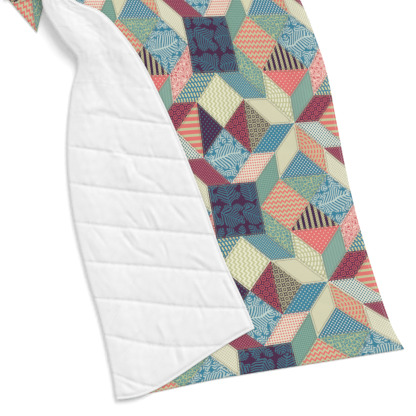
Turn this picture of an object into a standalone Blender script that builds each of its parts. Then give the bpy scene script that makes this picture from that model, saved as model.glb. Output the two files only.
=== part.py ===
"""Patchwork quilt, laid flat with its left side turned over and its top end tucked under.

Two cloth panels make the quilt: a printed patchwork face and a white quilted backing.
They are sewn together along diamond seams, so both follow one middle surface.

Cloth coordinates: u runs from the quilt's left side edge (0) to its right side edge,
v from the bottom hem (0) to the top hem. Plan coordinates: x to the right, y towards
the top end, z up from the surface that the quilt lies on. All sizes are in metres.
"""

import math

import bmesh
import bpy
from mathutils import Vector

QUILT_WIDTH = 1.730
QUILT_LENGTH = 1.964

# Quilting: two families of seams, each SEAM_SLOPE degrees off the hem, form the diamonds.
SEAM_SPACING = 0.140
SEAM_SLOPE = 31.0
SEAM_RISING_START = 0.073
SEAM_FALLING_START = 0.130
CUTS_PER_SEAM = 2

# Thickness of one panel with its share of the loft, and the gap between the two panels.
CROWN_THICKNESS = 0.0038
SEAM_THICKNESS = 0.0016
EDGE_THICKNESS = 0.0011
PANEL_GAP = 0.0003
EDGE_MARGIN = 0.016
REST_HEIGHT = CROWN_THICKNESS + PANEL_GAP / 2.0

# Side fold: the left side rolls over and lies on the main part as a flap.
ROLL_RADIUS = 0.008
ROLL_SPAN = math.pi * ROLL_RADIUS
FLAP_CLEARANCE = 0.0088
FLAP_SETTLE = 0.110
AXIS_STEP = 0.02
ROLL_CUTS = (-0.5, -0.25, 0.0, 0.25, 0.5)
SETTLE_CUT = 0.5

# The flap's hem sags beside the side fold: how far, how far up it reaches, and how lopsided.
HEM_SAG = 0.038
HEM_SAG_REACH = 0.350
HEM_SAG_SKEW = 2.0

# Top fold: a straight line across the plan where everything bends down and under.
TUCK_START = Vector((-0.700, 0.925))
TUCK_ANGLE = 6.0
TUCK_RADIUS = 0.007
TUCK_SPAN = math.pi * 0.011
CORNER_WIDTH = 0.130
CORNER_LENGTH = 0.260
TUCK_LENGTH = 0.270
RAMP_LENGTH = 0.220
TUCK_CUTS = 4

# Near the top fold the flap stays raised, and its ridges and swells fade out.
HOLD_START = 0.05
HOLD_LENGTH = 0.20
RIDGE_FADE = 0.10
SWELL_FADE = 0.15

# Corner radii, by corner: (u side, v side, radius).
CORNERS = (
    (0, 0, 0.006),
    (1, 0, 0.018),
    (1, 1, 0.018),
    (0, 1, 0.030),
)
CORNER_CUTS = (22.5, 45.0, 67.5)
WELD_DISTANCE = 0.0028

# How the cloth lies, row by row. Each row is a thread that runs across the quilt at v.
#   right: plan place of the right side edge; pitch: plan length per length of cloth;
#   tilt: degrees that the row drops towards the left; fold: u at the side fold;
#   turn: plan place of the fold's outer line; free: plan place of the flap's free edge.
COLUMNS = ("v", "right_x", "right_y", "pitch", "tilt", "fold",
           "turn_x", "turn_y", "free_x", "free_y")
ROWS = (
    (0.000, 0.762, -0.548, 1.00, 9.0, 0.591, -0.358, -0.743, 0.181, -0.467),
    (0.101, 0.713, -0.458, 0.94, 8.9, 0.589, -0.372, -0.648, 0.145, -0.378),
    (0.325, 0.645, -0.262, 0.91, 7.0, 0.580, -0.417, -0.441, 0.057, -0.185),
    (0.549, 0.585, -0.059, 0.86, 6.4, 0.558, -0.476, -0.236, -0.013, 0.015),
    (0.773, 0.537, 0.140, 0.84, 5.8, 0.524, -0.527, -0.008, -0.089, 0.212),
    (0.997, 0.498, 0.341, 0.82, 3.9, 0.468, -0.547, 0.226, -0.170, 0.400),
    (1.221, 0.457, 0.542, 0.80, 2.3, 0.379, -0.531, 0.447, -0.266, 0.587),
    (1.378, 0.404, 0.692, 0.76, 1.6, 0.300, -0.505, 0.570, -0.356, 0.704),
    (1.478, 0.367, 0.781, 0.74, 1.5, 0.267, -0.560, 0.645, -0.420, 0.762),
    (1.613, 0.307, 0.910, 0.72, 1.5, 0.222, -0.630, 0.758, -0.529, 0.815),
    (1.781, 0.260, 1.081, 0.71, 1.5, 0.188, -0.661, 0.879, -0.626, 1.003),
    (1.964, 0.218, 1.283, 0.71, 1.5, 0.188, -0.815, 1.038, -0.719, 1.205),
)
STRAIGHT_CLOTH = 0.670

# Soft lengthwise swells that lift all layers: (x0, y0, x1, y1, half width, height).
SWELLS = (
    (0.330, 0.900, 0.420, 0.050, 0.075, 0.010),
    (0.110, 0.880, 0.130, 0.100, 0.085, 0.008),
)
# Ridges of the turned-over flap alone, in the same form.
RIDGES = (
    (-0.560, 0.790, -0.330, 0.420, 0.060, 0.010),
    (-0.440, 0.740, -0.260, 0.520, 0.045, 0.008),
    (-0.420, 0.260, -0.200, 0.020, 0.060, 0.005),
)

# Plan place of the middle of the quilt's bounding box, which becomes the origin.
PLAN_MIDDLE = Vector((-0.0174, 0.1463, 0.0))

# Sheet colours and finish.
PRINT_COLOUR = (0.33, 0.42, 0.38, 1.0)
BACK_COLOUR = (0.86, 0.86, 0.86, 1.0)
CLOTH_ROUGHNESS = 0.9


def smooth_step(value):
    """Return 0 below 0, 1 above 1 and a smooth ramp between."""
    value = min(max(value, 0.0), 1.0)
    return value * value * (3.0 - 2.0 * value)


def column_tangent(column, i):
    """Return the slope of one column of ROWS at row i, from its neighbours."""
    low = max(i - 1, 0)
    high = min(i + 1, len(ROWS) - 1)
    return (ROWS[high][column] - ROWS[low][column]) / (ROWS[high][0] - ROWS[low][0])


def read_row(v, name):
    """Return a column of ROWS at v, along a smooth curve through the rows."""
    column = COLUMNS.index(name)
    v = min(max(v, 0.0), ROWS[-1][0])
    i = max(k for k in range(len(ROWS) - 1) if ROWS[k][0] <= v)
    span = ROWS[i + 1][0] - ROWS[i][0]
    t = (v - ROWS[i][0]) / span
    start, end = ROWS[i][column], ROWS[i + 1][column]
    slope_0 = column_tangent(column, i) * span
    slope_1 = column_tangent(column, i + 1) * span
    return ((2 * t ** 3 - 3 * t ** 2 + 1) * start + (t ** 3 - 2 * t ** 2 + t) * slope_0
            + (3 * t ** 2 - 2 * t ** 3) * end + (t ** 3 - t ** 2) * slope_1)


def row_point(v, name):
    """Return the plan point that a pair of columns gives at v."""
    return Vector((read_row(v, name + "_x"), read_row(v, name + "_y")))


def fold_axis(v):
    """Return the plan point on the side roll's axis at v, and the outward direction there."""
    along = row_point(v + AXIS_STEP, "turn") - row_point(v - AXIS_STEP, "turn")
    outward = Vector((-along.y, along.x)).normalized()
    return row_point(v, "turn") - outward * (ROLL_RADIUS + REST_HEIGHT), outward


def fold_distance(u, v):
    """Return the cloth length from the middle of the side roll, positive on the flap."""
    return read_row(v, "fold") - u


def hem_sag(share, v):
    """Return how far the flap sags at v, at a share of the way from its free edge to the roll."""
    bow = math.sin(math.pi * min(max(share, 0.0), 1.0) ** HEM_SAG_SKEW)
    return HEM_SAG * bow * (1.0 - smooth_step(v / HEM_SAG_REACH))


def unfolded_plan(u, v):
    """Return the plan point before the top is tucked under, and the height over the main part."""
    beyond = fold_distance(u, v)
    axis, outward = fold_axis(v)
    half = ROLL_SPAN / 2.0
    if abs(beyond) < half:
        angle = beyond / ROLL_RADIUS
        return (axis + outward * ROLL_RADIUS * math.cos(angle),
                ROLL_RADIUS * (1.0 + math.sin(angle)))
    if beyond > 0.0:
        share = u / (read_row(v, "fold") - half)
        sag = Vector((0.0, hem_sag(share, v)))
        return row_point(v, "free").lerp(axis, share) - sag, 2.0 * ROLL_RADIUS
    reach = QUILT_WIDTH - u
    full = QUILT_WIDTH - read_row(v, "fold") - half
    tilt = math.radians(read_row(v, "tilt"))
    along = Vector((-math.cos(tilt), -math.sin(tilt))) * read_row(v, "pitch")
    start = row_point(v, "right")
    pull = smooth_step((reach - STRAIGHT_CLOTH) / (full - STRAIGHT_CLOTH))
    return start + along * reach + (axis - start - along * full) * pull, 0.0


def tuck_frame(plan):
    """Return the distances of a plan point along the top fold and beyond it."""
    turn = math.radians(TUCK_ANGLE)
    offset = plan - TUCK_START
    return (offset.x * math.cos(turn) + offset.y * math.sin(turn),
            offset.y * math.cos(turn) - offset.x * math.sin(turn))


def tuck_place(along, beyond):
    """Return the plan point at these distances along and beyond the top fold."""
    turn = math.radians(TUCK_ANGLE)
    return TUCK_START + Vector((along * math.cos(turn) - beyond * math.sin(turn),
                                along * math.sin(turn) + beyond * math.cos(turn)))


def tuck_distance(u, v):
    """Return how far the cloth point lies beyond the top fold before it is tucked under."""
    return tuck_frame(unfolded_plan(u, v)[0])[1]


def corner_lift(along, below):
    """Return how much the turned-under corner lifts the layers above it, from 0 to 1."""
    side = smooth_step((CORNER_WIDTH + RAMP_LENGTH - along) / RAMP_LENGTH)
    return side * smooth_step((CORNER_LENGTH + RAMP_LENGTH - below) / RAMP_LENGTH)


def ridge_height(plan, ridges):
    """Return the summed height of soft ridges at a plan point."""
    total = 0.0
    for x0, y0, x1, y1, half_width, height in ridges:
        start = Vector((x0, y0))
        run = Vector((x1, y1)) - start
        share = min(max((plan - start).dot(run) / run.length_squared, 0.0), 1.0)
        away = (plan - start - run * share).length
        taper = math.sin(math.pi * share) ** 0.5 if 0.0 < share < 1.0 else 0.0
        if away < half_width:
            total += height * taper * math.cos(math.pi / 2.0 * away / half_width) ** 2
    return total


def flap_height(u, v, plan, raised, beyond):
    """Return the flap's height over the main part, lower away from the roll."""
    if fold_distance(u, v) <= ROLL_SPAN / 2.0:
        return raised
    away = (fold_distance(u, v) - ROLL_SPAN / 2.0) / FLAP_SETTLE
    held = max(1.0 - smooth_step(away), smooth_step(1.0 + (beyond + HOLD_START) / HOLD_LENGTH))
    ridge = ridge_height(plan, RIDGES) * smooth_step(away) * smooth_step(-beyond / RIDGE_FADE)
    return FLAP_CLEARANCE + (raised - FLAP_CLEARANCE) * held + ridge


def cloth_point(u, v):
    """Return the place in space of the cloth's middle surface at (u, v)."""
    plan, raised = unfolded_plan(u, v)
    along, beyond = tuck_frame(plan)
    if beyond <= 0.0:
        over = flap_height(u, v, plan, raised, beyond)
        under_run = smooth_step((TUCK_LENGTH + RAMP_LENGTH + beyond) / RAMP_LENGTH)
        lift = 2.0 * ROLL_RADIUS * corner_lift(along, -beyond) + 2.0 * TUCK_RADIUS * under_run
        swell = ridge_height(plan, SWELLS) * smooth_step(-beyond / SWELL_FADE)
        return Vector((plan.x, plan.y, REST_HEIGHT + lift + swell + over))
    radius = TUCK_RADIUS + raised
    if beyond < TUCK_SPAN:
        middle = REST_HEIGHT + 2.0 * ROLL_RADIUS * corner_lift(along, 0.0) + TUCK_RADIUS
        angle = math.pi * beyond / TUCK_SPAN
        place = tuck_place(along, radius * math.sin(angle))
        return Vector((place.x, place.y, middle + radius * math.cos(angle)))
    below = beyond - TUCK_SPAN
    place = tuck_place(along, -below)
    lift = 2.0 * ROLL_RADIUS * corner_lift(along, below)
    return Vector((place.x, place.y, REST_HEIGHT + lift - raised))


def seam_distance(u, v, direction, first):
    """Return the distance to one family of seams, measured from its first seam."""
    slope = math.radians(SEAM_SLOPE)
    return v * math.cos(slope) - direction * u * math.sin(slope) - first


def loft(u, v):
    """Return 0 on a seam and 1 at the middle of a diamond."""
    rising = seam_distance(u, v, 1.0, SEAM_RISING_START) / SEAM_SPACING
    falling = seam_distance(u, v, -1.0, SEAM_FALLING_START) / SEAM_SPACING
    return math.sqrt(abs(math.sin(math.pi * rising) * math.sin(math.pi * falling)))


def edge_share(u, v):
    """Return 0 on the quilt's outer edge and 1 inside its margin."""
    inside = min(u, QUILT_WIDTH - u, v, QUILT_LENGTH - v)
    return min(max(inside / EDGE_MARGIN, 0.0), 1.0)


def panel_thickness(u, v, lofted):
    """Return a panel's thickness, quilted or pressed flat."""
    puff = loft(u, v) if lofted else 1.0
    full = SEAM_THICKNESS + (CROWN_THICKNESS - SEAM_THICKNESS) * puff
    return EDGE_THICKNESS + (full - EDGE_THICKNESS) * edge_share(u, v)


def bisect(bm, place, normal, trim=False):
    """Cut the mesh along a plane, and trim away the outer side where asked."""
    bmesh.ops.bisect_plane(bm, geom=bm.verts[:] + bm.edges[:] + bm.faces[:], dist=1e-5,
                           plane_co=place, plane_no=normal, clear_outer=trim)


def cut_seams(bm):
    """Cut the flat cloth along both seam families, with extra lines between the seams."""
    slope = math.radians(SEAM_SLOPE)
    step = SEAM_SPACING / CUTS_PER_SEAM
    for direction, first in ((1.0, SEAM_RISING_START), (-1.0, SEAM_FALLING_START)):
        normal = Vector((-direction * math.sin(slope), math.cos(slope), 0.0))
        corners = [seam_distance(u, v, direction, first)
                   for u in (0.0, QUILT_WIDTH) for v in (0.0, QUILT_LENGTH)]
        for k in range(math.ceil(min(corners) / step), math.floor(max(corners) / step) + 1):
            bisect(bm, normal * (first + k * step), normal)


def cut_edges(bm):
    """Cut the margin lines along the four edges and round the four corners."""
    for u in (EDGE_MARGIN, QUILT_WIDTH - EDGE_MARGIN):
        bisect(bm, Vector((u, 0.0, 0.0)), Vector((1.0, 0.0, 0.0)))
    for v in (EDGE_MARGIN, QUILT_LENGTH - EDGE_MARGIN):
        bisect(bm, Vector((0.0, v, 0.0)), Vector((0.0, 1.0, 0.0)))
    for side, end, radius in CORNERS:
        out = Vector((2 * side - 1, 2 * end - 1, 0.0))
        centre = Vector((side * QUILT_WIDTH, end * QUILT_LENGTH, 0.0)) - out * radius
        for degrees in CORNER_CUTS:
            turn = math.radians(degrees)
            normal = Vector((out.x * math.cos(turn), out.y * math.sin(turn), 0.0))
            bisect(bm, centre + normal * radius, normal, trim=True)


def cut_levels(bm, field, levels):
    """Cut the flat cloth along lines where a field of (u, v) takes the given values."""
    for vert in bm.verts:
        vert.co.z = field(vert.co.x, vert.co.y)
    for level in levels:
        bisect(bm, Vector((0.0, 0.0, level)), Vector((0.0, 0.0, 1.0)))
    for vert in bm.verts:
        vert.co.z = 0.0


def flat_cloth():
    """Return a bmesh of the flat cloth, cut wherever the quilt is sewn, rolled or tucked."""
    bm = bmesh.new()
    bmesh.ops.create_grid(bm, x_segments=1, y_segments=1, size=0.5)
    for vert in bm.verts:
        vert.co.x = (vert.co.x + 0.5) * QUILT_WIDTH
        vert.co.y = (vert.co.y + 0.5) * QUILT_LENGTH
    cut_seams(bm)
    roll_levels = [ROLL_SPAN * share for share in ROLL_CUTS]
    roll_levels.append(ROLL_SPAN / 2.0 + FLAP_SETTLE * SETTLE_CUT)
    cut_levels(bm, fold_distance, roll_levels)
    cut_levels(bm, tuck_distance, [TUCK_SPAN * k / TUCK_CUTS for k in range(TUCK_CUTS + 1)])
    cut_edges(bm)
    bmesh.ops.remove_doubles(bm, verts=bm.verts[:], dist=WELD_DISTANCE)
    bmesh.ops.triangulate(bm, faces=bm.faces[:])
    return bm


def make_panel(name, side, colour, collection, is_lofted):
    """Build one panel on a side of the middle surface: +1 is the printed side."""
    bm = flat_cloth()
    cloth = [(vert.co.x, vert.co.y) for vert in bm.verts]
    for vert, (u, v) in zip(bm.verts, cloth):
        vert.co = cloth_point(u, v) - PLAN_MIDDLE
    bm.normal_update()
    inner = [vert.co + vert.normal * side * PANEL_GAP / 2.0 for vert in bm.verts]
    for vert, place in zip(bm.verts, inner):
        vert.co = place
    mesh = bpy.data.meshes.new(name)
    bm.to_mesh(mesh)
    bm.free()

    panel = bpy.data.objects.new(name, mesh)
    collection.objects.link(panel)
    group = panel.vertex_groups.new(name="thickness")
    for index, (u, v) in enumerate(cloth):
        share = panel_thickness(u, v, is_lofted(u, v)) / CROWN_THICKNESS
        group.add([index], share, "REPLACE")
    shell = panel.modifiers.new("panel thickness", "SOLIDIFY")
    shell.thickness = CROWN_THICKNESS
    shell.offset = side
    shell.vertex_group = group.name
    shell.use_even_offset = False

    cloth_finish = bpy.data.materials.new(name + " cotton")
    cloth_finish.use_nodes = True
    shader = cloth_finish.node_tree.nodes["Principled BSDF"]
    shader.inputs["Base Color"].default_value = colour
    shader.inputs["Roughness"].default_value = CLOTH_ROUGHNESS
    shader.inputs["Metallic"].default_value = 0.0
    mesh.materials.append(cloth_finish)
    return panel


def backing_is_lofted(u, v):
    """Return whether the backing is quilted here: it is pressed flat where it lies underneath."""
    return fold_distance(u, v) > 0.0 and tuck_distance(u, v) < 0.0


def clear_scene():
    """Remove every object of the open scene."""
    for item in list(bpy.data.objects):
        bpy.data.objects.remove(item, do_unlink=True)


def main():
    """Build the quilt."""
    clear_scene()
    quilt = bpy.data.collections.new("patchwork quilt")
    bpy.context.scene.collection.children.link(quilt)
    make_panel("printed_face", 1.0, PRINT_COLOUR, quilt, lambda u, v: True)
    make_panel("white_backing", -1.0, BACK_COLOUR, quilt, backing_is_lofted)


main()
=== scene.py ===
"""Visual model of a patchwork quilt that lies flat with its left side turned over.

The printed face and the white quilted backing are two cloth panels sewn together. Both follow
one drape: a smooth map from flat cloth to its place in space. Cloth coordinates are u, from the
left side edge, and v, from the bottom hem, in metres.
"""

import logging
import math
from dataclasses import dataclass, field
from enum import Enum
from typing import Any, Optional, Sequence

import bpy
import numpy as np
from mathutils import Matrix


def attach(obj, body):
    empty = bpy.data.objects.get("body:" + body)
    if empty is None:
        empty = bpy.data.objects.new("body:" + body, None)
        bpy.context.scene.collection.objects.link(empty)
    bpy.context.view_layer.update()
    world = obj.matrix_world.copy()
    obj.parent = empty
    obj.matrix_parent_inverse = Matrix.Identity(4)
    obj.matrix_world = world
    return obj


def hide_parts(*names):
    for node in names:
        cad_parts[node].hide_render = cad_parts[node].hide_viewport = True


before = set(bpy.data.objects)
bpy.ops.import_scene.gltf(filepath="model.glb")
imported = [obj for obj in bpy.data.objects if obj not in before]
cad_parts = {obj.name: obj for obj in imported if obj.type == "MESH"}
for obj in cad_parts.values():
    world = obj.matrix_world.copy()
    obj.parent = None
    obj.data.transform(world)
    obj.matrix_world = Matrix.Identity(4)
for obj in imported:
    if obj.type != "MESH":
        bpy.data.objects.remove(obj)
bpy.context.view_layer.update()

LOG = logging.getLogger("quilt")
PRINT_UNIT = 0.112
PRINT_REPEAT = 6
PRINT_CENTRE = (13.68, 8.9)
REPEAT_MM = 1000.0 * PRINT_UNIT * PRINT_REPEAT
Array = np.ndarray


def hex_linear(code: str) -> tuple[float, float, float, float]:
    """Turn an sRGB hex colour into linear values.

    Args:
        code: The colour as six hex digits after a hash sign.

    Returns:
        Linear red, green, blue and an alpha of one.
    """
    parts = [int(code[i:i + 2], 16) / 255.0 for i in (1, 3, 5)]
    linear = [c / 12.92 if c <= 0.04045 else ((c + 0.055) / 1.055) ** 2.4 for c in parts]
    return (linear[0], linear[1], linear[2], 1.0)


def smooth_step(value: Array) -> Array:
    """Return 0 below 0, 1 above 1 and a smooth ramp between."""
    value = np.clip(value, 0.0, 1.0)
    return value * value * (3.0 - 2.0 * value)


def add(tree: bpy.types.NodeTree, kind: str, inputs: Optional[dict[Any, Any]] = None,
        **settings: Any) -> bpy.types.Node:
    """Add a node with its settings, constant inputs and links.

    Args:
        tree: The node tree that gets the node.
        kind: The node's type name.
        inputs: Input name or index to an output socket that feeds it, or to a constant.
        settings: Properties to set on the node.

    Returns:
        The new node.
    """
    node = tree.nodes.new(kind)
    for name, value in settings.items():
        setattr(node, name, value)
    for name, value in (inputs or {}).items():
        if isinstance(value, bpy.types.NodeSocket):
            tree.links.new(value, node.inputs[name])
        else:
            node.inputs[name].default_value = value
    return node


@dataclass(frozen=True)
class Ridge:
    """A soft raised fold between two plan points, in metres."""

    x0: float
    y0: float
    x1: float
    y1: float
    half_width: float
    height: float

    def heights(self, plan: Array) -> Array:
        """Return the ridge's height at each plan point.

        Args:
            plan: Plan points, one row each.

        Returns:
            The height at each point.
        """
        start = np.array((self.x0, self.y0))
        run = np.array((self.x1, self.y1)) - start
        share = np.clip((plan - start) @ run / (run @ run), 0.0, 1.0)
        away = np.linalg.norm(plan - start - share[:, None] * run, axis=1)
        taper = np.sqrt(np.clip(np.sin(np.pi * share), 0.0, 1.0))
        bump = np.cos(np.pi / 2.0 * np.clip(away / self.half_width, 0.0, 1.0)) ** 2
        return self.height * taper * bump


@dataclass(frozen=True)
class Row:
    """A thread across the quilt: where it starts, how it runs, turns over and ends."""

    v: float
    right_x: float
    right_y: float
    pitch: float
    tilt: float
    fold: float
    turn_x: float
    turn_y: float
    free_x: float
    free_y: float


ROWS = (
    Row(0.000, 0.762, -0.548, 1.00, 9.0, 0.591, -0.358, -0.743, 0.181, -0.467),
    Row(0.101, 0.713, -0.458, 0.94, 8.9, 0.589, -0.372, -0.648, 0.145, -0.378),
    Row(0.325, 0.645, -0.262, 0.91, 7.0, 0.580, -0.417, -0.441, 0.057, -0.185),
    Row(0.549, 0.585, -0.059, 0.86, 6.4, 0.558, -0.476, -0.236, -0.013, 0.015),
    Row(0.773, 0.537, 0.140, 0.84, 5.8, 0.524, -0.527, -0.008, -0.089, 0.212),
    Row(0.997, 0.498, 0.341, 0.82, 3.9, 0.468, -0.547, 0.226, -0.170, 0.400),
    Row(1.221, 0.457, 0.542, 0.80, 2.3, 0.379, -0.531, 0.447, -0.266, 0.587),
    Row(1.378, 0.404, 0.692, 0.76, 1.6, 0.300, -0.505, 0.570, -0.356, 0.704),
    Row(1.478, 0.367, 0.781, 0.74, 1.5, 0.267, -0.560, 0.645, -0.420, 0.762),
    Row(1.613, 0.307, 0.910, 0.72, 1.5, 0.222, -0.630, 0.758, -0.529, 0.815),
    Row(1.781, 0.260, 1.081, 0.71, 1.5, 0.188, -0.661, 0.879, -0.626, 1.003),
    Row(1.964, 0.218, 1.283, 0.71, 1.5, 0.188, -0.815, 1.038, -0.719, 1.205),
)

# Swells lift every layer, ridges only the flap. Both are placed where the cloth buckles.
SWELLS = (
    Ridge(0.330, 0.900, 0.420, 0.050, 0.075, 0.010),
    Ridge(0.110, 0.880, 0.130, 0.100, 0.085, 0.008),
)
RIDGES = (
    Ridge(-0.560, 0.790, -0.330, 0.420, 0.060, 0.003),
    Ridge(-0.440, 0.740, -0.260, 0.520, 0.045, 0.002),
    Ridge(-0.420, 0.260, -0.200, 0.020, 0.060, 0.004),
)

# Creases of the flap's white side: troughs are negative. The form is that of the ridges.
CREASES = (
    Ridge(-0.560, 0.800, -0.400, 0.640, 0.048, -0.0070),
    Ridge(-0.460, 0.800, -0.325, 0.645, 0.036, 0.0050),
    Ridge(-0.425, 0.640, -0.325, 0.435, 0.027, -0.0050),
    Ridge(-0.552, 0.700, -0.440, 0.560, 0.040, 0.0022),
    Ridge(-0.350, 0.620, -0.272, 0.482, 0.030, 0.0040),
    Ridge(-0.507, 0.424, -0.447, 0.521, 0.020, -0.0042),
    Ridge(-0.458, 0.505, -0.424, 0.420, 0.022, -0.0038),
    Ridge(-0.424, 0.520, -0.373, 0.400, 0.032, 0.0040),
    Ridge(-0.340, 0.450, -0.280, 0.385, 0.022, -0.0034),
    Ridge(-0.350, 0.241, -0.292, 0.183, 0.014, -0.0054),
    Ridge(-0.292, 0.183, -0.280, 0.136, 0.013, -0.0054),
    Ridge(-0.280, 0.136, -0.202, 0.095, 0.013, -0.0046),
    Ridge(-0.202, 0.095, -0.144, 0.031, 0.013, -0.0039),
    Ridge(-0.319, 0.171, -0.299, 0.101, 0.014, 0.0046),
    Ridge(-0.152, 0.019, -0.086, -0.054, 0.013, -0.0046),
    Ridge(-0.319, -0.017, -0.268, -0.074, 0.010, -0.0046),
    Ridge(-0.257, -0.004, -0.222, -0.078, 0.011, -0.0039),
    Ridge(-0.229, 0.008, -0.187, -0.078, 0.014, 0.0039),
    Ridge(-0.342, -0.086, -0.288, -0.157, 0.013, -0.0050),
    Ridge(-0.288, -0.157, -0.206, -0.196, 0.013, -0.0046),
    Ridge(-0.311, -0.070, -0.264, -0.140, 0.015, 0.0043),
    Ridge(-0.175, -0.132, -0.154, -0.202, 0.010, -0.0039),
    Ridge(-0.070, -0.200, 0.012, -0.243, 0.011, -0.0039),
    Ridge(-0.082, -0.171, -0.008, -0.210, 0.013, 0.0034),
    Ridge(-0.474, -0.124, -0.432, -0.210, 0.013, -0.0043),
    Ridge(-0.451, -0.070, -0.389, -0.152, 0.011, -0.0039),
    Ridge(-0.132, -0.513, -0.117, -0.607, 0.013, -0.0054),
    Ridge(-0.105, -0.521, -0.093, -0.591, 0.013, 0.0039),
    Ridge(-0.354, -0.665, -0.272, -0.713, 0.013, -0.0050),
    Ridge(-0.334, -0.700, -0.295, -0.739, 0.011, 0.0031),
    Ridge(-0.459, 0.062, -0.346, 0.206, 0.013, -0.0034),
    Ridge(-0.404, -0.439, -0.354, -0.369, 0.011, -0.0043),
    Ridge(-0.350, -0.599, -0.257, -0.474, 0.011, -0.0041),
    Ridge(-0.428, 0.373, -0.342, 0.354, 0.015, -0.0046),
    Ridge(-0.268, 0.373, -0.167, 0.338, 0.015, -0.0039),
    Ridge(-0.482, 0.373, -0.389, 0.404, 0.027, 0.0046),
    Ridge(-0.226, 0.241, -0.202, 0.187, 0.011, -0.0034),
    Ridge(-0.047, -0.358, -0.019, -0.428, 0.013, -0.0034),
    Ridge(-0.194, -0.443, -0.163, -0.513, 0.013, 0.0038),
    Ridge(0.023, -0.163, 0.054, -0.210, 0.011, -0.0034),
    Ridge(-0.389, 0.226, -0.327, 0.194, 0.015, 0.0041),
    Ridge(-0.342, -0.377, -0.392, -0.468, 0.013, -0.0044),
    Ridge(-0.070, -0.330, -0.109, -0.436, 0.013, -0.0040),
    Ridge(-0.058, -0.268, -0.004, -0.369, 0.013, 0.0036),
    Ridge(0.047, -0.268, 0.097, -0.358, 0.011, -0.0036),
)


@dataclass(frozen=True)
class Drape:
    """The map from flat cloth to the way in which the quilt lies.

    The left side rolls over along a side fold and lies on the main part. Then everything
    beyond a straight line near the top bends down and lies tucked under.
    """

    width: float = 1.730
    length: float = 1.964
    rest_height: float = 0.00395
    roll_radius: float = 0.008
    flap_clearance: float = 0.0088
    flap_hold: float = 0.065
    flap_settle: float = 0.110
    tuck_x: float = -0.700
    tuck_y: float = 0.925
    tuck_angle: float = 6.0
    tuck_radius: float = 0.007
    tuck_span: float = math.pi * 0.011
    hem_sag: float = 0.038
    hem_sag_reach: float = 0.350
    hem_sag_skew: float = 2.0
    corner_width: float = 0.130
    corner_length: float = 0.260
    tuck_length: float = 0.270
    ramp: float = 0.220
    axis_step: float = 0.020
    hold_start: float = 0.050
    hold_length: float = 0.200
    ridge_fade: float = 0.100
    swell_fade: float = 0.150
    straight_cloth: float = 0.670
    straight_gain: float = 0.430
    gain_start: float = 0.900
    gain_reach: float = 0.600
    gain_end: float = 1.620
    gain_fade: float = 0.300
    middle_x: float = -0.0174
    middle_y: float = 0.1463
    normal_step: float = 0.0015

    @property
    def roll_half(self) -> float:
        """Return half the cloth length that the side roll takes."""
        return math.pi * self.roll_radius / 2.0

    def read(self, v: Array, name: str) -> Array:
        """Read a column of the rows along a smooth curve.

        Args:
            v: Cloth coordinates along the length.
            name: The column's name.

        Returns:
            The column's value at each v.
        """
        knots = np.array([row.v for row in ROWS])
        values = np.array([getattr(row, name) for row in ROWS])
        low = np.maximum(np.arange(len(ROWS)) - 1, 0)
        high = np.minimum(np.arange(len(ROWS)) + 1, len(ROWS) - 1)
        slopes = (values[high] - values[low]) / (knots[high] - knots[low])
        v = np.clip(v, 0.0, knots[-1])
        i = np.clip(np.searchsorted(knots, v, side="right") - 1, 0, len(ROWS) - 2)
        span = knots[i + 1] - knots[i]
        t = (v - knots[i]) / span
        return ((2 * t ** 3 - 3 * t ** 2 + 1) * values[i] + (t ** 3 - 2 * t ** 2 + t) * slopes[i] * span
                + (3 * t ** 2 - 2 * t ** 3) * values[i + 1] + (t ** 3 - t ** 2) * slopes[i + 1] * span)

    def point(self, v: Array, name: str) -> Array:
        """Return the plan points that a pair of columns gives."""
        return np.stack((self.read(v, name + "_x"), self.read(v, name + "_y")), axis=1)

    def roll_axis(self, v: Array) -> tuple[Array, Array]:
        """Return plan points on the side roll's axis, and the outward directions there.

        Args:
            v: Cloth coordinates along.

        Returns:
            Plan points, and unit vectors away from the quilt.
        """
        along = self.point(v + self.axis_step, "turn") - self.point(v - self.axis_step, "turn")
        outward = np.stack((-along[:, 1], along[:, 0]), axis=1)
        outward /= np.linalg.norm(outward, axis=1)[:, None]
        return self.point(v, "turn") - outward * (self.roll_radius + self.rest_height), outward

    def straight(self, v: Array) -> Array:
        """Return how far from the right edge each thread lies straight.

        Near the top it is farther, which shifts the print in its own plane.

        Args:
            v: Cloth coordinates along.

        Returns:
            The straight length of each thread.
        """
        gain = smooth_step((v - self.gain_start) / self.gain_reach)
        fade = 1.0 - smooth_step((v - self.gain_end) / self.gain_fade)
        return self.straight_cloth + self.straight_gain * gain * fade

    def unfolded(self, u: Array, v: Array) -> tuple[Array, Array]:
        """Place the cloth as it lies before its top is tucked under.

        Args:
            u: Cloth coordinates across.
            v: Cloth coordinates along.

        Returns:
            Plan points, and heights over the main part.
        """
        fold = self.read(v, "fold")
        beyond = fold - u
        axis, outward = self.roll_axis(v)
        angle = np.clip(beyond / self.roll_radius, -math.pi / 2.0, math.pi / 2.0)
        rolled = axis + outward * (self.roll_radius * np.cos(angle))[:, None]
        raised = self.roll_radius * (1.0 + np.sin(angle))
        share = np.clip(u / (fold - self.roll_half), 0.0, 1.0)[:, None]
        near_hem = 1.0 - smooth_step(v / self.hem_sag_reach)
        bow = np.sin(math.pi * share[:, 0] ** self.hem_sag_skew) * near_hem
        flap = self.point(v, "free") * (1.0 - share) + axis * share
        flap[:, 1] -= self.hem_sag * bow
        reach = self.width - u
        full = self.width - fold - self.roll_half
        tilt = np.radians(self.read(v, "tilt"))
        along = np.stack((-np.cos(tilt), -np.sin(tilt)), axis=1) * self.read(v, "pitch")[:, None]
        start = self.point(v, "right")
        straight = self.straight(v)
        pull = smooth_step((reach - straight) / (full - straight))[:, None]
        flat = start + along * reach[:, None] + (axis - start - along * full[:, None]) * pull
        plan = np.where((beyond > self.roll_half)[:, None], flap,
                        np.where((beyond < -self.roll_half)[:, None], flat, rolled))
        return plan, raised

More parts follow.
